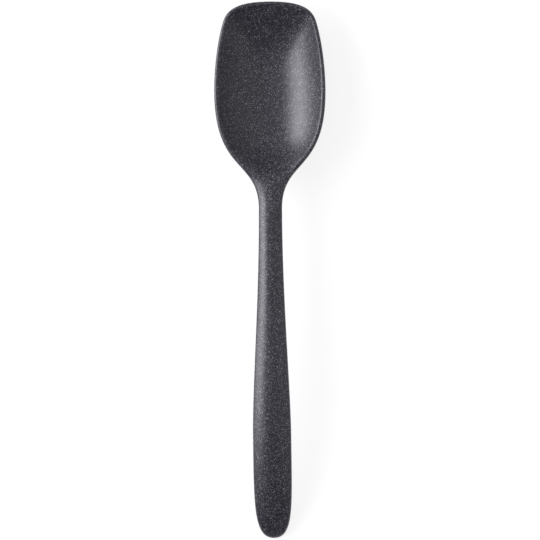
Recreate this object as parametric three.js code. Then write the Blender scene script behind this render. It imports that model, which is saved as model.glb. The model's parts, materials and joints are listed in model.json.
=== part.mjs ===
// A cooking spoon pressed in one piece: a rounded oblong bowl, a narrow neck and a handle that widens
// to a round end. Millimetres, +Z up. It lies as on a table, bowl open upwards, with its tip towards +Y
// and its handle towards -Y. The origin is under the middle of its length.
//
// The form is lofted from half sections, called ribs here. The plan outline is drawn with curves through
// six knots. A rib runs from the middle line of the top face out to the outline, round the edge and back
// along the underside. Both faces are curved across: hollow in the bowl, crowned on the handle. The edge
// between them is an elliptic round that meets both faces smoothly.

import * as THREE from "three";
import { mergeVertices } from "three/addons/utils/BufferGeometryUtils.js";

// Plan outline
const LENGTH = 260;
const BOWL_WIDTH = 54;
const WIDEST_FROM_TIP = 43.4;
const CORNER_FROM_TIP = 9.5;
const CORNER_INSET = 4.5;
const CORNER_LEAN = 17.5;
const NECK_WIDTH = 11.3;
const NECK_FROM_TIP = 100.6;
const GRIP_WIDTH = 18.6;
const GRIP_FROM_END = 47.8;

// Bowl
const BOWL_DEPTH = 12.2;
const FLOOR_THICKNESS = 3;
const RIM_THICKNESS = 2.3;
const HOLLOW_END_FROM_TIP = 89;
const FLOOR_START_FROM_TIP = 35.5;
const FLOOR_FULLNESS = 3.9;

// Power by which a face rises from its middle line to the edge. At 2 it is a parabola, as on the handle.
// Above 2, as in the bowl, it is flatter in the middle and steeper at the walls.
const CROWN_POWER = 2;
const WALL_POWER = 2.15;

// Handle
const NECK_THICKNESS = 6;
const SHAFT_THICKNESS = 7.3;
const SHAFT_FROM_NECK = 54;
const GRIP_THICKNESS = 8;
const SIDE_HEIGHT = 3;
const SIDE_ROUND = 1.3;
const CROWN_END_FROM_END = 33;
const ARCH_DROP = 19.5;
const ARCH_POWER = 3.5;
const NECK_DROP = 0.4;

// Depth of the two small flats that it lies on
const REST_FLAT_DEPTH = 0.3;

// Facets: ribs on each stretch of the outline, and steps along each face of a rib and each half of its edge
const RIBS = [14, 12, 24, 18, 16];
const FACE_STEPS = 11;
const EDGE_STEPS = 3;
const WELD = 0.001;

// Passes after which a worked-out angle no longer changes
const PASSES = 6;

const { clamp, smoothstep, lerp, degToRad } = THREE.MathUtils;
const GRIP_FROM_TIP = LENGTH - GRIP_FROM_END;

// Half of the plan outline, as curves through knots from the tip to the end of the handle. x is the half
// width and y the distance from the tip. lean is the outline's direction, in degrees off the length. before
// and after say how far the curve keeps to it, as a share of the straight distance to the next knot.
const KNOTS = [
  { x: 0, y: 0, lean: 90, before: 0, after: 0.59 },
  { x: BOWL_WIDTH / 2 - CORNER_INSET, y: CORNER_FROM_TIP, lean: CORNER_LEAN, before: 0.275, after: 0.255 },
  { x: BOWL_WIDTH / 2, y: WIDEST_FROM_TIP, lean: 0, before: 0.35, after: 0.66 },
  { x: NECK_WIDTH / 2, y: NECK_FROM_TIP, lean: 0, before: 0.4, after: 0.4 },
  { x: GRIP_WIDTH / 2, y: GRIP_FROM_TIP, lean: 0, before: 0.235, after: 0.66 },
  { x: 0, y: LENGTH, lean: -90, before: 0.205, after: 0 },
];
const WIDEST_KNOT = 2;
const GRIP_KNOT = 4;

function outlineCurves() {
  const point = (knot) => new THREE.Vector2(knot.x, knot.y);
  const way = (knot) => new THREE.Vector2(Math.sin(degToRad(knot.lean)), Math.cos(degToRad(knot.lean)));
  return KNOTS.slice(1).map((next, i) => {
    const knot = KNOTS[i];
    const apart = point(knot).distanceTo(point(next));
    return new THREE.CubicBezierCurve(
      point(knot),
      point(knot).addScaledVector(way(knot), knot.after * apart),
      point(next).addScaledVector(way(next), -next.before * apart),
      point(next),
    );
  });
}

// How much of the bowl's section is left at a distance from the tip: 1 in the bowl, 0 on the handle
function bowlShare(station) {
  const way = (station - WIDEST_FROM_TIP) / (HOLLOW_END_FROM_TIP - WIDEST_FROM_TIP);
  return (1 - clamp(way, 0, 1) ** FLOOR_FULLNESS) ** 2;
}

function handleThickness(station) {
  const shaft = NECK_FROM_TIP + SHAFT_FROM_NECK;
  const upper = lerp(NECK_THICKNESS, SHAFT_THICKNESS, smoothstep(station, NECK_FROM_TIP, shaft));
  return lerp(upper, GRIP_THICKNESS, smoothstep(station, shaft, GRIP_FROM_TIP));
}

// Heights of the middle lines of both faces from the edge line, the half axes of the edge round, and the
// power of both faces
function sectionAt(station) {
  const bowl = bowlShare(station);
  const handle = handleThickness(station) / 2;
  const rim = RIM_THICKNESS / 2;
  return {
    top: lerp(handle, rim - BOWL_DEPTH, bowl),
    under: lerp(handle, BOWL_DEPTH - rim + FLOOR_THICKNESS, bowl),
    edgeWidth: lerp(SIDE_ROUND, rim, bowl),
    edgeHeight: lerp(SIDE_HEIGHT / 2, rim, bowl),
    power: lerp(CROWN_POWER, WALL_POWER, bowl),
  };
}

// Height of the edge line: straight along the bowl, sinking a little into the neck, then bending down more
// and more towards the end of the handle
function edgeLine(station) {
  const past = clamp((station - NECK_FROM_TIP) / (LENGTH - NECK_FROM_TIP), 0, 1);
  return -ARCH_DROP * past ** ARCH_POWER - NECK_DROP * (1 - bowlShare(station));
}

// A way along the middle line that starts level with the outline and comes to rest at limit where the
// outline has run to total
function gather(run, total, limit) {
  return limit * (1 - (1 - run / total) ** (total / limit));
}

// How far a rib of the bowl's front reaches beyond an oval round the bowl's floor. The hollow follows that
// oval near its middle and the corners of the outline only near the rim.
function swell(span) {
  return (span.x / (BOWL_WIDTH / 2)) ** 2 + (span.y / FLOOR_START_FROM_TIP) ** 2 - 1;
}

// The angle on the edge round of a section where it meets a face whose middle line has the given height.
// reach is the distance from that line to the outline. Each pass takes the slope of the face at the last
// angle.
function meetingAngle(height, reach, { edgeWidth, edgeHeight, power }) {
  let angle = Math.PI / 2;
  for (let pass = 0; pass < PASSES; pass += 1) {
    const rise = height - edgeHeight * Math.sin(angle);
    const slope = (power * rise) / (reach - edgeWidth * (1 - Math.cos(angle)));
    angle = Math.atan2(edgeHeight, slope * edgeWidth);
  }
  return angle;
}

// One rib: points from the middle line of the top face, round the edge, to that of the underside
function ribPoints(outline, tangent, centre) {
  const outward = new THREE.Vector2(tangent.y, -tangent.x);
  const span = outline.clone().sub(centre);
  const reach = span.dot(outward);
  const beyond = centre.y < WIDEST_FROM_TIP ? swell(span) : 0;
  const section = sectionAt(centre.y);
  const { top, under, edgeWidth, edgeHeight, power } = section;
  const topAngle = meetingAngle(top, reach, section);
  const underAngle = -meetingAngle(under, reach, section);

  const edgePoint = (angle) => {
    const plan = outline.clone().addScaledVector(outward, edgeWidth * (Math.cos(angle) - 1));
    return new THREE.Vector3(plan.x, plan.y, edgeHeight * Math.sin(angle));
  };
  const facePoint = (border, height, share) => {
    const rise = share ** power * (1 + beyond * (1 - share ** 2) ** 2);
    const along = lerp(centre.y, border.y, share);
    return new THREE.Vector3(border.x * share, along, lerp(height, border.z, rise));
  };

  const topBorder = edgePoint(topAngle);
  const underBorder = edgePoint(underAngle);
  const outwards = Array.from({ length: FACE_STEPS }, (_, i) => i / FACE_STEPS);
  const around = Array.from({ length: EDGE_STEPS }, (_, i) => i / EDGE_STEPS);
  const inwards = [...outwards].reverse();
  const points = [
    ...outwards.map((share) => facePoint(topBorder, top, share)),
    ...around.map((share) => edgePoint(lerp(topAngle, 0, share))),
    ...around.map((share) => edgePoint(underAngle * share)),
    underBorder,
    ...inwards.map((share) => facePoint(underBorder, -under, share)),
  ];
  return points.map((p) => new THREE.Vector3(p.x, LENGTH / 2 - p.y, p.z + edgeLine(p.y)));
}

// The ribs of the right half, from the tip to the end of the handle. Between the widest places of the bowl
// and of the grip a rib lies straight across. Beyond them the ribs fan out, from a middle line that gathers
// short of each end.
function halfRibs() {
  const curves = outlineCurves();
  const lengths = curves.map((curve) => curve.getLength());
  const sum = (list) => list.reduce((total, value) => total + value, 0);
  const frontRun = sum(lengths.slice(0, WIDEST_KNOT));
  const backRun = sum(lengths.slice(GRIP_KNOT));
  const frontLimit = WIDEST_FROM_TIP - FLOOR_START_FROM_TIP;
  const backLimit = GRIP_FROM_END - CROWN_END_FROM_END;
  const ribs = [];
  let runBefore = 0;
  curves.forEach((curve, k) => {
    const steps = k === curves.length - 1 ? RIBS[k] : RIBS[k] - 1;
    for (let i = 0; i <= steps; i += 1) {
      const at = i / RIBS[k];
      const outline = curve.getPointAt(at);
      let station = outline.y;
      if (k < WIDEST_KNOT) {
        const run = frontRun - runBefore - at * lengths[k];
        station = WIDEST_FROM_TIP - gather(run, frontRun, frontLimit);
      } else if (k >= GRIP_KNOT) {
        station = GRIP_FROM_TIP + gather(at * lengths[k], backRun, backLimit);
      }
      ribs.push(ribPoints(outline, curve.getTangentAt(at), new THREE.Vector2(0, station)));
    }
    runBefore += lengths[k];
  });
  return ribs;
}

// A closed skin over the ribs and their mirror images
function spoonGeometry() {
  const ribs = halfRibs();
  const across = ribs[0].length;
  const positions = [];
  const indices = [];
  for (const side of [1, -1]) {
    const start = positions.length / 3;
    ribs.flat().forEach((p) => positions.push(side * p.x, p.y, p.z));
    for (let i = 0; i + 1 < ribs.length; i += 1) {
      for (let j = 0; j + 1 < across; j += 1) {
        const a = start + i * across + j;
        const b = a + across;
        const quad = side > 0 ? [a, b, b + 1, a, b + 1, a + 1] : [a, b + 1, b, a, a + 1, b + 1];
        indices.push(...quad);
      }
    }
  }
  const skin = new THREE.BufferGeometry();
  skin.setAttribute("position", new THREE.Float32BufferAttribute(positions, 3));
  skin.setIndex(indices);
  return mergeVertices(skin, WELD);
}

function lowest(geometry, inside) {
  const point = new THREE.Vector3();
  const found = new THREE.Vector3(0, 0, Infinity);
  const position = geometry.getAttribute("position");
  for (let i = 0; i < position.count; i += 1) {
    point.fromBufferAttribute(position, i);
    if (inside(point) && point.z < found.z) found.copy(point);
  }
  return found;
}

// Lays the spoon down on the bowl and the end of the handle, and flattens the two places where it touches
function layDown(geometry) {
  for (let pass = 0; pass < PASSES; pass += 1) {
    const bowl = lowest(geometry, (p) => p.y > 0);
    const handle = lowest(geometry, (p) => p.y < 0);
    geometry.rotateX(-Math.atan2(bowl.z - handle.z, bowl.y - handle.y));
  }
  geometry.computeBoundingBox();
  const { min, max } = geometry.boundingBox;
  geometry.translate(0, -(min.y + max.y) / 2, -min.z - REST_FLAT_DEPTH);
  const position = geometry.getAttribute("position");
  for (let i = 0; i < position.count; i += 1) {
    position.setZ(i, Math.max(0, position.getZ(i)));
  }
  return geometry;
}

const melamine = new THREE.MeshStandardMaterial({ color: 0x403f45, roughness: 0.4, metalness: 0 });
const body = new THREE.Mesh(layDown(spoonGeometry()), melamine);
body.name = "spoon_body";

const spoon = new THREE.Group();
spoon.name = "cooking_spoon";
spoon.add(body);

export default spoon;
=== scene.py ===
# %% [markdown]
# # A moulded cooking spoon
# The spoon is pressed in one go from melamine powder: a rounded oblong bowl, a slim neck and an arched
# handle that widens to a round end. There is only one piece, so the whole lesson is about one smooth
# skin and one good material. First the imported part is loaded, because everything is placed in its frame.

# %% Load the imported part
import json
import math

import bmesh
import bpy
import numpy as np
from mathutils import Matrix, Vector
from mathutils.bvhtree import BVHTree

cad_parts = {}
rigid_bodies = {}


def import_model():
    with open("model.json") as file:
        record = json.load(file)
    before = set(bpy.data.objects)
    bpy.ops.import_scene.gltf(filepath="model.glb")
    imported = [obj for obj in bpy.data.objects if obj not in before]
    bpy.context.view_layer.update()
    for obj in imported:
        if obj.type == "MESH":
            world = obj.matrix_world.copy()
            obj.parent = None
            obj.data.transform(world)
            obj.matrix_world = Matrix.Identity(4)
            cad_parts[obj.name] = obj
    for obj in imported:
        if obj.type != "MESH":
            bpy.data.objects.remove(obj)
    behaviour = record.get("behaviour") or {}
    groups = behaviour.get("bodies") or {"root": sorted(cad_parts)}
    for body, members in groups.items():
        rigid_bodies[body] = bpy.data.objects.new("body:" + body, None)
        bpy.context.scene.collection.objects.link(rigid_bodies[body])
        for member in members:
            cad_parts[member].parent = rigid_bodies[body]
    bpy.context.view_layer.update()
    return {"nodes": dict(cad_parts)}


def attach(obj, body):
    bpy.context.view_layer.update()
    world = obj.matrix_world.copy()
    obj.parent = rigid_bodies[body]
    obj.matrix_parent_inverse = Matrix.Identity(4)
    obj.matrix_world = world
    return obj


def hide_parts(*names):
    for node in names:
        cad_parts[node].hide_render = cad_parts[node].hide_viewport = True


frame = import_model()
MM = 0.001
CM = 0.01

# %% [markdown]
# ## The camera
# The photograph looks straight down on the spoon, from very slightly to the right of it. The highest part
# of the handle shows that, because it leans to the left of a straight line from the tip to the end.
# A long lens from far away keeps the plan outline true, as a flat product picture needs.

# %% Camera
PHOTO_PIXELS = 540
MM_PER_PIXEL = 0.485
CAMERA_DISTANCE = 3.0
CAMERA_LEAN = math.radians(2.7)
CAMERA_ROLL = math.radians(-0.37)
AIM = Vector((-0.67 * MM, 0.12 * MM, 10 * MM))
SENSOR_WIDTH = 36.0

turn = Matrix.Rotation(CAMERA_LEAN, 4, "Y") @ Matrix.Rotation(CAMERA_ROLL, 4, "Z")
lens = bpy.data.cameras.new("product_camera")
lens.sensor_width = SENSOR_WIDTH
lens.lens = SENSOR_WIDTH * CAMERA_DISTANCE / (PHOTO_PIXELS * MM_PER_PIXEL * MM)
camera = bpy.data.objects.new("product_camera", lens)
camera.matrix_world = Matrix.Translation(AIM + turn.to_3x3() @ Vector((0, 0, CAMERA_DISTANCE))) @ turn
bpy.context.scene.collection.objects.link(camera)
bpy.context.scene.camera = camera
print("lens:", round(lens.lens), "mm")

# %% [markdown]
# ## Sizes
# The skin repeats the rule of the CAD solid with far finer steps, so that the satin highlight runs along it
# without facets. Lengths are in millimetres, and stations are counted from the tip of the bowl. A power says
# how a face rises from its middle line to the edge: at 2 it is a parabola, and above 2 it is flatter in the
# middle and steeper at the walls.

# %% Sizes of the spoon
SIZES = {
    "Length": 260.0,
    "Bowl width": 54.0,
    "Widest station": 43.4,
    "Hollow end station": 89.0,
    "Hollow fullness": 3.9,
    "Floor start": 35.5,
    "Neck station": 100.6,
    "Shaft station": 154.6,
    "Grip station": 212.2,
    "Crown end": 227.0,
    "Bowl depth": 12.2,
    "Crown power": 2.0,
    "Wall power": 2.15,
    "Floor thickness": 3.0,
    "Rim thickness": 2.3,
    "Neck thickness": 6.0,
    "Shaft thickness": 7.3,
    "Grip thickness": 8.0,
    "Side height": 3.0,
    "Side round": 1.3,
    "Arch drop": 19.5,
    "Arch power": 3.5,
    "Neck drop": 0.4,
}
REST_FLAT_DEPTH = 0.3
print("sizes:", len(SIZES), "for the loft")

# %% [markdown]
# ## The plan outline
# Half of the outline is one Bezier curve through six knots: tip, corner of the bowl, its widest place, the
# neck, the widest place of the grip, and the end. It could be traced point by point, but six knots with
# tangents stay fair, just as a designer would draw them.

# %% Outline curve
# Each knot is half width, station, direction in degrees off the length, and how far the curve keeps to it
# before and after the knot, as a share of the straight distance to the next knot.
KNOTS = [
    (0.0, 0.0, 90.0, 0.0, 0.59),
    (22.5, 9.5, 17.5, 0.275, 0.255),
    (27.0, SIZES["Widest station"], 0.0, 0.35, 0.66),
    (5.65, SIZES["Neck station"], 0.0, 0.40, 0.40),
    (9.3, SIZES["Grip station"], 0.0, 0.235, 0.66),
    (0.0, SIZES["Length"], -90.0, 0.205, 0.0),
]
WIDEST_KNOT = 2
GRIP_KNOT = 4
CURVE_STEPS = 200

outline = bpy.data.curves.new("half_outline", "CURVE")
outline.dimensions = "3D"
outline.resolution_u = CURVE_STEPS
spline = outline.splines.new("BEZIER")
spline.bezier_points.add(len(KNOTS) - 1)
places = [Vector((x, y, 0)) for x, y, *_ in KNOTS]
for i, (_, _, lean, before, after) in enumerate(KNOTS):
    way = Vector((math.sin(math.radians(lean)), math.cos(math.radians(lean)), 0))
    to_last = (places[i] - places[max(i - 1, 0)]).length
    to_next = (places[min(i + 1, len(KNOTS) - 1)] - places[i]).length
    knot = spline.bezier_points[i]
    knot.handle_left_type = knot.handle_right_type = "FREE"
    knot.co = places[i]
    knot.handle_left = places[i] - way * before * to_last
    knot.handle_right = places[i] + way * after * to_next
drawing = bpy.data.objects.new("half_outline", outline)
bpy.context.scene.collection.objects.link(drawing)
print("outline:", len(KNOTS), "knots")

# %% [markdown]
# ## One helper for every node
# Geometry and shader trees are both built with the same short function. A node passed as an input stands
# for its first output.

# %% Node helper
def add(tree, kind, settings=None, inputs=()):
    node = tree.nodes.new(kind)
    for name, value in (settings or {}).items():
        setattr(node, name, value)
    for key, value in inputs.items() if isinstance(inputs, dict) else enumerate(inputs):
        source = value.outputs[0] if isinstance(value, bpy.types.Node) else value
        if isinstance(source, bpy.types.NodeSocket):
            tree.links.new(source, node.inputs[key])
        elif source is not None:
            node.inputs[key].default_value = source
    return node


def new_group(name, inputs, outputs):
    tree = bpy.data.node_groups.new(name, "GeometryNodeTree")
    for label, kind in inputs.items():
        tree.interface.new_socket(label, in_out="INPUT", socket_type=kind)
    for label, kind in outputs.items():
        tree.interface.new_socket(label, in_out="OUTPUT", socket_type=kind)
    return tree, tree.nodes.new("NodeGroupInput").outputs, tree.nodes.new("NodeGroupOutput").inputs


# %% [markdown]
# ## Two small rules
# The first rule says how much of the bowl is left at a station: all of it up to the widest place, none where
# the hollow ends. The second finds where the round of the edge meets a face. The slope of the face depends
# on that place, so a repeat zone finds it in a few passes.

# %% Rule for the bowl's share
FLOAT = "NodeSocketFloat"
share_rule, given, result = new_group(
    "bowl_share", dict.fromkeys(["Station", "Widest", "End", "Fullness"], FLOAT), {"Share": FLOAT}
)
way = add(share_rule, "ShaderNodeMapRange", {}, [given["Station"], given["Widest"], given["End"]])
sunk = add(share_rule, "ShaderNodeMath", {"operation": "POWER"}, [way, given["Fullness"]])
left = add(share_rule, "ShaderNodeMath", {"operation": "SUBTRACT"}, [1.0, sunk])
share = add(share_rule, "ShaderNodeMath", {"operation": "MULTIPLY"}, [left, left])
share_rule.links.new(share.outputs[0], result["Share"])
print("rule for the bowl's share:", len(share_rule.nodes), "nodes")

# %% Rule for the meeting angle
PASSES = 6
angle_rule, given, result = new_group(
    "meeting_angle",
    dict.fromkeys(["Height", "Reach", "Edge width", "Edge height", "Power"], FLOAT),
    {"Angle": FLOAT},
)
start = add(angle_rule, "GeometryNodeRepeatInput")
finish = add(angle_rule, "GeometryNodeRepeatOutput")
start.pair_with_output(finish)
finish.repeat_items.clear()
finish.repeat_items.new("FLOAT", "Angle")
start.inputs["Iterations"].default_value = PASSES
start.inputs["Angle"].default_value = math.pi / 2
last = start.outputs["Angle"]
sine = add(angle_rule, "ShaderNodeMath", {"operation": "SINE"}, [last])
cosine = add(angle_rule, "ShaderNodeMath", {"operation": "COSINE"}, [last])
lift = add(angle_rule, "ShaderNodeMath", {"operation": "MULTIPLY"}, [sine, given["Edge height"]])
rise = add(angle_rule, "ShaderNodeMath", {"operation": "SUBTRACT"}, [given["Height"], lift])
inset = add(angle_rule, "ShaderNodeMath", {"operation": "SUBTRACT"}, [1.0, cosine])
inset = add(angle_rule, "ShaderNodeMath", {"operation": "MULTIPLY"}, [inset, given["Edge width"]])
span = add(angle_rule, "ShaderNodeMath", {"operation": "SUBTRACT"}, [given["Reach"], inset])
slope = add(angle_rule, "ShaderNodeMath", {"operation": "DIVIDE"}, [rise, span])
slope = add(angle_rule, "ShaderNodeMath", {"operation": "MULTIPLY"}, [slope, given["Power"]])
run = add(angle_rule, "ShaderNodeMath", {"operation": "MULTIPLY"}, [slope, given["Edge width"]])
angle = add(angle_rule, "ShaderNodeMath", {"operation": "ARCTAN2"}, [given["Edge height"], run])
angle_rule.links.new(angle.outputs[0], finish.inputs["Angle"])
angle_rule.links.new(finish.outputs["Angle"], result["Angle"])
print("rule for the meeting angle:", len(angle_rule.nodes), "nodes,", PASSES, "passes")

# %% [markdown]
# ## The loft
# Bowl, neck and handle of the real spoon flow into each other without a seam, and the left half mirrors the
# right. So one half is a grid: its rows are ribs that run from the middle line of the top face out to the
# edge, round it, and back below. A sculpted mesh with subdivision could come close, but a rule keeps the rim
# even and the crown fair.

# %% Loft tree: grid and outline
RIBS = 330
FACE_STEPS = 30
EDGE_STEPS = 16
POINTS_ON_RIB = 2 * FACE_STEPS + EDGE_STEPS + 1
FACE_SHARE = FACE_STEPS / (POINTS_ON_RIB - 1)

GEOMETRY = "NodeSocketGeometry"
loft, size, result = new_group(
    "spoon_loft", {"Outline": GEOMETRY, **dict.fromkeys(SIZES, FLOAT)}, {"Skin": GEOMETRY}
)
grid = add(loft, "GeometryNodeMeshGrid", {}, [1.0, 1.0, RIBS, POINTS_ON_RIB])
place = add(loft, "ShaderNodeSeparateXYZ", {}, [add(loft, "GeometryNodeInputPosition")])
along = add(loft, "ShaderNodeMath", {"operation": "ADD"}, [place.outputs["X"], 0.5])
across = add(loft, "ShaderNodeMath", {"operation": "ADD"}, [place.outputs["Y"], 0.5])
edge = add(
    loft,
    "GeometryNodeSampleCurve",
    {"mode": "FACTOR", "use_all_curves": True},
    {"Curves": size["Outline"], "Factor": along},
)
edge_place = add(loft, "ShaderNodeSeparateXYZ", {}, [edge.outputs["Position"]])
edge_way = add(loft, "ShaderNodeSeparateXYZ", {}, [edge.outputs["Tangent"]])
back_x = add(loft, "ShaderNodeMath", {"operation": "MULTIPLY"}, [edge_way.outputs["X"], -1.0])
outward = add(loft, "ShaderNodeCombineXYZ", {}, [edge_way.outputs["Y"], back_x, 0.0])
print("half skin:", RIBS, "ribs of", POINTS_ON_RIB, "points")

# %% Loft tree: middle line
# Between the widest places a rib lies straight across. Beyond them the ribs fan out from a middle line
# that gathers short of each end.
total = add(loft, "GeometryNodeCurveLength", {}, [size["Outline"]])
arc = add(loft, "ShaderNodeMath", {"operation": "MULTIPLY"}, [along, total])
knot_run = add(loft, "GeometryNodeSplineParameter").outputs["Length"]
fans = []
for knot_index, ahead, limit_from, limit_to in [
    (WIDEST_KNOT, True, "Floor start", "Widest station"),
    (GRIP_KNOT, False, "Grip station", "Crown end"),
]:
    at_knot = add(
        loft,
        "GeometryNodeSampleIndex",
        {"data_type": "FLOAT", "domain": "POINT"},
        {"Geometry": size["Outline"], "Value": knot_run, "Index": knot_index},
    )
    run_all = at_knot
    if not ahead:
        run_all = add(loft, "ShaderNodeMath", {"operation": "SUBTRACT"}, [total, at_knot])
    passed = [at_knot, arc] if ahead else [arc, at_knot]
    run = add(loft, "ShaderNodeMath", {"operation": "SUBTRACT"}, passed)
    run = add(loft, "ShaderNodeMath", {"operation": "MAXIMUM"}, [run, 0.0])
    limit = add(loft, "ShaderNodeMath", {"operation": "SUBTRACT"}, [size[limit_to], size[limit_from]])
    ahead_share = add(loft, "ShaderNodeMath", {"operation": "DIVIDE"}, [run, run_all])
    ahead_share = add(loft, "ShaderNodeMath", {"operation": "SUBTRACT"}, [1.0, ahead_share])
    gathering = add(loft, "ShaderNodeMath", {"operation": "DIVIDE"}, [run_all, limit])
    ahead_share = add(loft, "ShaderNodeMath", {"operation": "POWER"}, [ahead_share, gathering])
    ahead_share = add(loft, "ShaderNodeMath", {"operation": "SUBTRACT"}, [1.0, ahead_share])
    fans.append(add(loft, "ShaderNodeMath", {"operation": "MULTIPLY"}, [ahead_share, limit]))
station = add(
    loft, "ShaderNodeClamp", {}, [edge_place.outputs["Y"], size["Widest station"], size["Grip station"]]
)
station = add(loft, "ShaderNodeMath", {"operation": "SUBTRACT"}, [station, fans[0]])
station = add(loft, "ShaderNodeMath", {"operation": "ADD"}, [station, fans[1]])
centre = add(loft, "ShaderNodeCombineXYZ", {}, [0.0, station, 0.0])
print("fans of ribs:", len(fans))

# %% Loft tree: section
bowl = add(
    loft,
    "GeometryNodeGroup",
    {"node_tree": share_rule},
    [station, size["Widest station"], size["Hollow end station"], size["Hollow fullness"]],
)
upper = add(
    loft,
    "ShaderNodeMapRange",
    {"interpolation_type": "SMOOTHSTEP"},
    [station, size["Neck station"], size["Shaft station"], size["Neck thickness"], size["Shaft thickness"]],
)
lower = add(
    loft,
    "ShaderNodeMapRange",
    {"interpolation_type": "SMOOTHSTEP"},
    [station, size["Shaft station"], size["Grip station"], 0.0, 1.0],
)
thick = add(loft, "ShaderNodeMix", {}, {0: lower, 2: upper, 3: size["Grip thickness"]})
half = add(loft, "ShaderNodeMath", {"operation": "MULTIPLY"}, [thick, 0.5])
rim = add(loft, "ShaderNodeMath", {"operation": "MULTIPLY"}, [size["Rim thickness"], 0.5])
side = add(loft, "ShaderNodeMath", {"operation": "MULTIPLY"}, [size["Side height"], 0.5])
sink = add(loft, "ShaderNodeMath", {"operation": "SUBTRACT"}, [rim, size["Bowl depth"]])
belly = add(loft, "ShaderNodeMath", {"operation": "SUBTRACT"}, [sink, size["Floor thickness"]])
below = add(loft, "ShaderNodeMath", {"operation": "MULTIPLY"}, [half, -1.0])
top = add(loft, "ShaderNodeMix", {}, {0: bowl, 2: half, 3: sink})
under = add(loft, "ShaderNodeMix", {}, {0: bowl, 2: below, 3: belly})
edge_width = add(loft, "ShaderNodeMix", {}, {0: bowl, 2: size["Side round"], 3: rim})
edge_height = add(loft, "ShaderNodeMix", {}, {0: bowl, 2: side, 3: rim})
power = add(loft, "ShaderNodeMix", {}, {0: bowl, 2: size["Crown power"], 3: size["Wall power"]})
print("with the section:", len(loft.nodes), "nodes")

# %% Loft tree: edge round
# Where the round meets each face, and the angle on it that each point of the rib has.
span = add(loft, "ShaderNodeVectorMath", {"operation": "SUBTRACT"}, [edge.outputs["Position"], centre])
reach = add(loft, "ShaderNodeVectorMath", {"operation": "DOT_PRODUCT"}, [span, outward])
reach = reach.outputs["Value"]
half_bowl = add(loft, "ShaderNodeMath", {"operation": "MULTIPLY"}, [size["Bowl width"], 0.5])
oval = add(loft, "ShaderNodeCombineXYZ", {}, [half_bowl, size["Floor start"], 1.0])
stretch = add(loft, "ShaderNodeVectorMath", {"operation": "DIVIDE"}, [span, oval])
stretch = add(loft, "ShaderNodeVectorMath", {"operation": "DOT_PRODUCT"}, [stretch, stretch])
swell = add(loft, "ShaderNodeMath", {"operation": "SUBTRACT"}, [stretch.outputs["Value"], 1.0])
in_front = add(loft, "ShaderNodeMath", {"operation": "LESS_THAN"}, [station, size["Widest station"]])
swell = add(loft, "ShaderNodeMath", {"operation": "MULTIPLY"}, [swell, in_front])
under_up = add(loft, "ShaderNodeMath", {"operation": "MULTIPLY"}, [under, -1.0])
top_angle = add(
    loft, "GeometryNodeGroup", {"node_tree": angle_rule}, [top, reach, edge_width, edge_height, power]
)
under_angle = add(
    loft, "GeometryNodeGroup", {"node_tree": angle_rule}, [under_up, reach, edge_width, edge_height, power]
)
under_angle = add(loft, "ShaderNodeMath", {"operation": "MULTIPLY"}, [under_angle, -1.0])
angle = add(
    loft, "ShaderNodeMapRange", {}, [across, FACE_SHARE, 1 - FACE_SHARE, top_angle, under_angle]
)
inset = add(loft, "ShaderNodeMath", {"operation": "COSINE"}, [angle])
inset = add(loft, "ShaderNodeMath", {"operation": "SUBTRACT"}, [inset, 1.0])
inset = add(loft, "ShaderNodeMath", {"operation": "MULTIPLY"}, [inset, edge_width])
inset = add(loft, "ShaderNodeVectorMath", {"operation": "SCALE"}, {0: outward, "Scale": inset})
border = add(loft, "ShaderNodeVectorMath", {"operation": "ADD"}, [edge.outputs["Position"], inset])
border_z = add(loft, "ShaderNodeMath", {"operation": "SINE"}, [angle])
border_z = add(loft, "ShaderNodeMath", {"operation": "MULTIPLY"}, [border_z, edge_height])
print("with the edge round:", len(loft.nodes), "nodes")

# %% Loft tree: points of a rib
out_share = add(loft, "ShaderNodeMapRange", {}, [across, 0.0, FACE_SHARE])
in_share = add(loft, "ShaderNodeMapRange", {}, [across, 1.0, 1 - FACE_SHARE])
face_share = add(loft, "ShaderNodeMath", {"operation": "MINIMUM"}, [out_share, in_share])
is_under = add(loft, "ShaderNodeMath", {"operation": "GREATER_THAN"}, [across, 0.5])
height = add(loft, "ShaderNodeMix", {}, {0: is_under, 2: top, 3: under})
squared = add(loft, "ShaderNodeMath", {"operation": "MULTIPLY"}, [face_share, face_share])
more = add(loft, "ShaderNodeMath", {"operation": "SUBTRACT"}, [1.0, squared])
more = add(loft, "ShaderNodeMath", {"operation": "MULTIPLY"}, [more, more])
more = add(loft, "ShaderNodeMath", {"operation": "MULTIPLY"}, [more, swell])
more = add(loft, "ShaderNodeMath", {"operation": "ADD"}, [more, 1.0])
bent = add(loft, "ShaderNodeMath", {"operation": "POWER"}, [face_share, power])
bent = add(loft, "ShaderNodeMath", {"operation": "MULTIPLY"}, [bent, more])
rib_z = add(loft, "ShaderNodeMix", {"clamp_factor": False}, {0: bent, 2: height, 3: border_z})
rib = add(loft, "ShaderNodeVectorMath", {"operation": "SUBTRACT"}, [border, centre])
rib = add(loft, "ShaderNodeVectorMath", {"operation": "SCALE"}, {0: rib, "Scale": face_share})
rib = add(loft, "ShaderNodeVectorMath", {"operation": "ADD"}, [rib, centre])
rib = add(loft, "ShaderNodeSeparateXYZ", {}, [rib])
print("with the ribs:", len(loft.nodes), "nodes")

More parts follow.
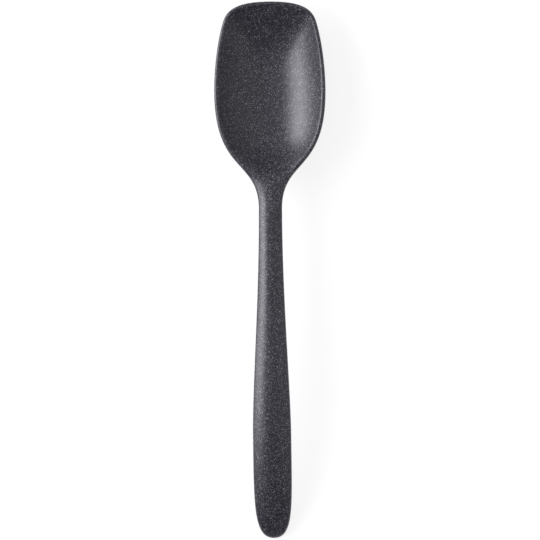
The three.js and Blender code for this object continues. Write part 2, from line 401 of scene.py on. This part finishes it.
# %% Loft tree: edge line
# Straight along the bowl, then sinking into the neck and arched down the handle.
rib_station = rib.outputs["Y"]
rib_bowl = add(
    loft,
    "GeometryNodeGroup",
    {"node_tree": share_rule},
    [rib_station, size["Widest station"], size["Hollow end station"], size["Hollow fullness"]],
)
past = add(loft, "ShaderNodeMapRange", {}, [rib_station, size["Neck station"], size["Length"]])
past = add(loft, "ShaderNodeMath", {"operation": "POWER"}, [past, size["Arch power"]])
arch = add(loft, "ShaderNodeMath", {"operation": "MULTIPLY"}, [size["Arch drop"], -1.0])
arch = add(loft, "ShaderNodeMath", {"operation": "MULTIPLY"}, [arch, past])
sunk = add(loft, "ShaderNodeMath", {"operation": "SUBTRACT"}, [rib_bowl, 1.0])
arch = add(loft, "ShaderNodeMath", {"operation": "MULTIPLY_ADD"}, [sunk, size["Neck drop"], arch])
final_z = add(loft, "ShaderNodeMath", {"operation": "ADD"}, [rib_z, arch])
middle = add(loft, "ShaderNodeMath", {"operation": "MULTIPLY"}, [size["Length"], 0.5])
final_y = add(loft, "ShaderNodeMath", {"operation": "SUBTRACT"}, [middle, rib_station])
point = add(loft, "ShaderNodeCombineXYZ", {}, [rib.outputs["X"], final_y, final_z])
print("with the edge line:", len(loft.nodes), "nodes")

# %% Loft tree: two halves, welded
WELD = 0.001
half_skin = add(loft, "GeometryNodeSetPosition", {}, {"Geometry": grid, "Position": point})
mirrored = add(loft, "GeometryNodeTransform", {}, {"Geometry": half_skin, "Scale": (-1.0, 1.0, 1.0)})
turned = add(loft, "GeometryNodeFlipFaces", {}, {"Mesh": mirrored})
both = add(loft, "GeometryNodeJoinGeometry", {}, [half_skin])
loft.links.new(turned.outputs[0], both.inputs[0])
welded = add(loft, "GeometryNodeMergeByDistance", {}, {"Geometry": both, "Distance": WELD})
metres = add(loft, "GeometryNodeTransform", {}, {"Geometry": welded, "Scale": (MM, MM, MM)})
smooth = add(loft, "GeometryNodeSetShadeSmooth", {}, {"Geometry": metres, "Shade Smooth": True})
real = add(loft, "GeometryNodeRealizeInstances", {}, {"Geometry": smooth})
melamine = bpy.data.materials.new("moulded_melamine")
coated = add(loft, "GeometryNodeSetMaterial", {}, {"Geometry": real, "Material": melamine})
loft.links.new(coated.outputs[0], result["Skin"])
print("loft:", len(loft.nodes), "nodes")

# %% Run the loft and keep a plain mesh
modifier = drawing.modifiers.new("loft", "NODES")
modifier.node_group = loft
for item in loft.interface.items_tree:
    if item.in_out == "INPUT" and item.name in SIZES:
        modifier[item.identifier] = SIZES[item.name]
drawing.update_tag()
seen = drawing.evaluated_get(bpy.context.evaluated_depsgraph_get())
skin = bpy.data.meshes.new_from_object(seen)
skin.name = "moulded_spoon"
bpy.data.objects.remove(drawing)
spoon = bpy.data.objects.new("moulded_spoon", skin)
bpy.context.scene.collection.objects.link(spoon)
print("skin:", len(skin.vertices), "points,", len(skin.polygons), "faces")

# %% [markdown]
# ## Laying it down
# On a table the spoon touches under the bowl and under the end of the handle. Simulated gravity could lay it
# there, but turning the skin until both lowest places are level gives the same result every time. Then it
# sinks a little, so that two small flats form where it touches.

# %% Lay the spoon down
LEVEL_PASSES = 6
place = np.empty(len(skin.vertices) * 3)
skin.vertices.foreach_get("co", place)
place = place.reshape(-1, 3)
for _ in range(LEVEL_PASSES):
    in_bowl = place[place[:, 1] > 0]
    on_grip = place[place[:, 1] < 0]
    low_bowl = in_bowl[in_bowl[:, 2].argmin()]
    low_grip = on_grip[on_grip[:, 2].argmin()]
    tilt = -math.atan2(low_bowl[2] - low_grip[2], low_bowl[1] - low_grip[1])
    place = place @ np.array(Matrix.Rotation(tilt, 3, "X")).T
place[:, 1] -= (place[:, 1].min() + place[:, 1].max()) / 2
place[:, 2] -= place[:, 2].min() + REST_FLAT_DEPTH * MM
place[:, 2] = place[:, 2].clip(min=0)
skin.vertices.foreach_set("co", place.ravel())
skin.update()
print("skin box, mm:", (place.min(0) / MM).round(2), (place.max(0) / MM).round(2))

# %% Measure it against the CAD solid
MEASURE_EVERY = 7
cad = frame["nodes"]["spoon_body"].data
cad_tree = BVHTree.FromPolygons([v.co for v in cad.vertices], [p.vertices for p in cad.polygons])
off = max(cad_tree.find_nearest(Vector(p))[3] for p in place[::MEASURE_EVERY])
print("furthest from the CAD solid, mm:", round(off / MM, 3))

# %% Check that the faces point outwards
# A skin that is turned inside out has a negative volume.
probe = bmesh.new()
probe.from_mesh(skin)
print("volume, cm3:", round(probe.calc_volume(signed=True) / CM**3, 2))
probe.free()

# %% [markdown]
# ## Moulded melamine
# Melamine resin with fine grains of filler is pressed hot in a steel mould. The body is nearly black with a
# hint of blue. The eye sees dense pale grains in it, a quarter of a millimetre across, and a larger fleck
# here and there. They could be painted as an image, but random cells fill space and the skin just cuts
# through them, so the grains have a known size everywhere and no seam. The mould is polished to a satin, not
# to a mirror, so the highlights are broad and soft.

# %% Colour function
# Colours are written as on a screen, and this is the standard curve from there to light.
def linear(hex_colour):
    channels = [int(hex_colour[i : i + 2], 16) / 255 for i in (1, 3, 5)]
    return [c / 12.92 if c <= 0.04045 else ((c + 0.055) / 1.055) ** 2.4 for c in channels] + [1.0]


print("middle grey of a screen, as light:", round(linear("#808080")[0], 3))

# %% Melamine: grains
# Every cell is one grain with a tone of its own. A high power leaves most of them dark and a few pale.
GRAIN = 0.24 * MM
GRAIN_POWER = 12.0
melamine.use_nodes = True
tree = melamine.node_tree
tree.nodes.clear()
spot = add(tree, "ShaderNodeTexCoord").outputs["Object"]
grains = add(tree, "ShaderNodeTexVoronoi", {}, {"Vector": spot, "Scale": 1 / GRAIN})
chance = add(tree, "ShaderNodeSeparateColor", {}, [grains.outputs["Color"]])
tone = add(tree, "ShaderNodeMath", {"operation": "POWER"}, [chance.outputs["Red"], GRAIN_POWER])
grainy = add(
    tree,
    "ShaderNodeMix",
    {"data_type": "RGBA"},
    {"Factor": tone, 6: linear("#060516"), 7: linear("#9b9aa1")},
)
print("grains to a millimetre:", round(MM / GRAIN, 1))

# %% Melamine: flecks
# A fleck is a ball in a larger cell. Few cells have one, and chance sets its size up to the full radius.
FLECK_CELL = 0.9 * MM
FLECK_RADIUS = 0.24 * MM
FLECK_SHARE = 0.10
FLECK_BORDER = 0.08 * MM
cells = add(tree, "ShaderNodeTexVoronoi", {}, {"Vector": spot, "Scale": 1 / FLECK_CELL})
chance = add(tree, "ShaderNodeSeparateColor", {}, [cells.outputs["Color"]])
ball = add(
    tree,
    "ShaderNodeMapRange",
    {},
    [chance.outputs["Red"], 1 - FLECK_SHARE, 1.0, 0.0, FLECK_RADIUS / FLECK_CELL],
)
inside = add(tree, "ShaderNodeMath", {"operation": "SUBTRACT"}, [ball, cells.outputs["Distance"]])
inside = add(tree, "ShaderNodeMapRange", {}, [inside, 0.0, FLECK_BORDER / FLECK_CELL])
speckled = add(
    tree,
    "ShaderNodeMix",
    {"data_type": "RGBA"},
    {"Factor": inside, 6: grainy.outputs[2], 7: linear("#bcbbc1")},
)
print("flecks in", f"{FLECK_SHARE:.0%}", "of the larger cells")

# %% Melamine: satin
# The polish of the mould varies a little over a few millimetres, and the skin has a faint orange peel. Noise
# rarely leaves the middle of its range, so the roughness is spread over that.
POLISH_PATCH = 4 * MM
NOISE_LOW, NOISE_HIGH = 0.3, 0.7
SMOOTHEST, ROUGHEST = 0.37, 0.42
PEEL_WAVE = 0.9 * MM
PEEL_HEIGHT = 0.006 * MM
MELAMINE_IOR = 1.6
polish = add(tree, "ShaderNodeTexNoise", {}, {"Vector": spot, "Scale": 1 / POLISH_PATCH})
rough = add(tree, "ShaderNodeMapRange", {}, [polish, NOISE_LOW, NOISE_HIGH, SMOOTHEST, ROUGHEST])
peel = add(tree, "ShaderNodeTexNoise", {}, {"Vector": spot, "Scale": 1 / PEEL_WAVE, "Detail": 1.0})
bump = add(tree, "ShaderNodeBump", {}, {"Strength": 1.0, "Distance": PEEL_HEIGHT, "Height": peel})
shader = add(
    tree,
    "ShaderNodeBsdfPrincipled",
    {},
    {"Base Color": speckled.outputs[2], "Roughness": rough, "IOR": MELAMINE_IOR, "Normal": bump},
)
add(tree, "ShaderNodeOutputMaterial", {}, [shader])
print("melamine:", len(tree.nodes), "nodes")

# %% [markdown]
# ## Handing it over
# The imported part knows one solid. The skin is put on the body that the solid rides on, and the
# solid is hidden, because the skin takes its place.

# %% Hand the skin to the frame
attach(spoon, "root")
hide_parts("spoon_body")
print("stands for spoon_body:", spoon.name)

# %% [markdown]
# ## White paper
# In a product picture the object lies on white paper that is lit until it shows no edge. A plain plane would
# end in a line at the horizon when the camera looks from low down. So the paper is a wide shallow dish, flat
# round the spoon and rising gently far away.

# %% Floor
FLAT_RADIUS = 4.0
RISE_RADIUS = 9.0
RISE_HEIGHT = 1.0
ROUND_STEPS = 96
around = [2 * math.pi * i / ROUND_STEPS for i in range(ROUND_STEPS)]
rings = [(FLAT_RADIUS, 0.0), (RISE_RADIUS, RISE_HEIGHT)]
corners = [(r * math.cos(a), r * math.sin(a), z) for r, z in rings for a in around]
faces = [list(range(ROUND_STEPS))]
for i in range(ROUND_STEPS):
    j = (i + 1) % ROUND_STEPS
    faces.append([i, j, j + ROUND_STEPS, i + ROUND_STEPS])
floor_mesh = bpy.data.meshes.new("floor")
floor_mesh.from_pydata(corners, [], faces)
floor = bpy.data.objects.new("floor", floor_mesh)
bpy.context.scene.collection.objects.link(floor)
print("paper:", 2 * RISE_RADIUS, "m across")

# %% White paper
# To the camera and in reflections it glows, and a weak diffuse part keeps the shadow on it. All other rays
# meet plain pale paper, so the glow shows in the gloss of the spoon but doesn't light it. It grows with
# distance, because the lamps light only the paper near the spoon.
NEAR, FAR = 0.3, 1.2
GLOW_NEAR, GLOW_FAR = 0.82, 1.0
paper = bpy.data.materials.new("white_paper")
paper.use_nodes = True
tree = paper.node_tree
tree.nodes.clear()
spot = add(tree, "ShaderNodeTexCoord").outputs["Object"]
distance = add(tree, "ShaderNodeVectorMath", {"operation": "LENGTH"}, [spot]).outputs["Value"]
strength = add(tree, "ShaderNodeMapRange", {}, [distance, NEAR, FAR, GLOW_NEAR, GLOW_FAR])
plain = add(tree, "ShaderNodeBsdfDiffuse", {}, {"Color": linear("#e6e6e6")})
faint = add(tree, "ShaderNodeBsdfDiffuse", {}, {"Color": linear("#868686")})
glow = add(tree, "ShaderNodeEmission", {}, {"Strength": strength})
bright = add(tree, "ShaderNodeAddShader", {}, [glow, faint])
path = add(tree, "ShaderNodeLightPath").outputs
shown = add(tree, "ShaderNodeMath", {"operation": "ADD"}, [path["Is Camera Ray"], path["Is Glossy Ray"]])
shown = add(
    tree, "ShaderNodeMath", {"operation": "ADD", "use_clamp": True}, [shown, path["Is Transmission Ray"]]
)
mixed = add(tree, "ShaderNodeMixShader", {}, [shown, plain, bright])
add(tree, "ShaderNodeOutputMaterial", {}, [mixed])
floor_mesh.materials.append(paper)
print("paper glow:", GLOW_NEAR, "to", GLOW_FAR)

# %% [markdown]
# ## Light
# A highlight tells where its lamp stands, because the surface there turns the lamp's direction into the
# camera's. One long softbox on the left gives the broad highlight on the right wall of the bowl and the light
# along the left of the handle. A wide, weak one on the right keeps the shaded sides open, and one overhead
# lifts the upper faces. A ring of many lamps could do it too, but three can still be understood.

# %% Lamps
# Each softbox is given as it is seen from the spoon: degrees from straight up, degrees round from +X, half
# its length and half its width in degrees, how far it leans over, and its brightness, where a white wall in
# full light has 1.
LAMP_DISTANCE = 2.5
LAMP_COLOUR = linear("#faf9ff")
SOFTBOXES = [
    ("key_softbox", 60.0, 164.5, 27.0, 13.5, -54.0, 8.8),
    ("fill_softbox", 50.0, 16.0, 28.0, 41.0, 0.0, 0.54),
    ("top_softbox", 22.0, 96.0, 35.0, 18.0, 0.0, 0.56),
]
for name, polar, azimuth, half_length, half_width, lean, brightness in SOFTBOXES:
    lamp = bpy.data.lights.new(name, "AREA")
    lamp.shape = "RECTANGLE"
    lamp.size = 2 * LAMP_DISTANCE * math.tan(math.radians(half_width))
    lamp.size_y = 2 * LAMP_DISTANCE * math.tan(math.radians(half_length))
    lamp.energy = brightness * math.pi * lamp.size * lamp.size_y
    lamp.color = LAMP_COLOUR[:3]
    holder = bpy.data.objects.new(name, lamp)
    holder.visible_camera = False
    away = Vector((0, 0, LAMP_DISTANCE))
    away.rotate(Matrix.Rotation(math.radians(polar), 3, "Y"))
    away.rotate(Matrix.Rotation(math.radians(azimuth), 3, "Z"))
    facing = (-away).to_track_quat("-Z", "Y").to_matrix().to_4x4()
    leaning = Matrix.Rotation(math.radians(lean), 4, "Z")
    holder.matrix_world = Matrix.Translation(away) @ facing @ leaning
    bpy.context.scene.collection.objects.link(holder)
    print(f"{name}: {lamp.size:.2f} by {lamp.size_y:.2f} m, {lamp.energy:.0f} W")

# %% World
# A dim, even surround stands for the walls of the studio.
WORLD_BRIGHTNESS = 0.26
world = bpy.data.worlds.new("studio")
world.use_nodes = True
surround = world.node_tree.nodes["Background"].inputs
surround["Color"].default_value = LAMP_COLOUR
surround["Strength"].default_value = WORLD_BRIGHTNESS
bpy.context.scene.world = world
bpy.context.scene.view_settings.view_transform = "Standard"
print("surround:", WORLD_BRIGHTNESS)
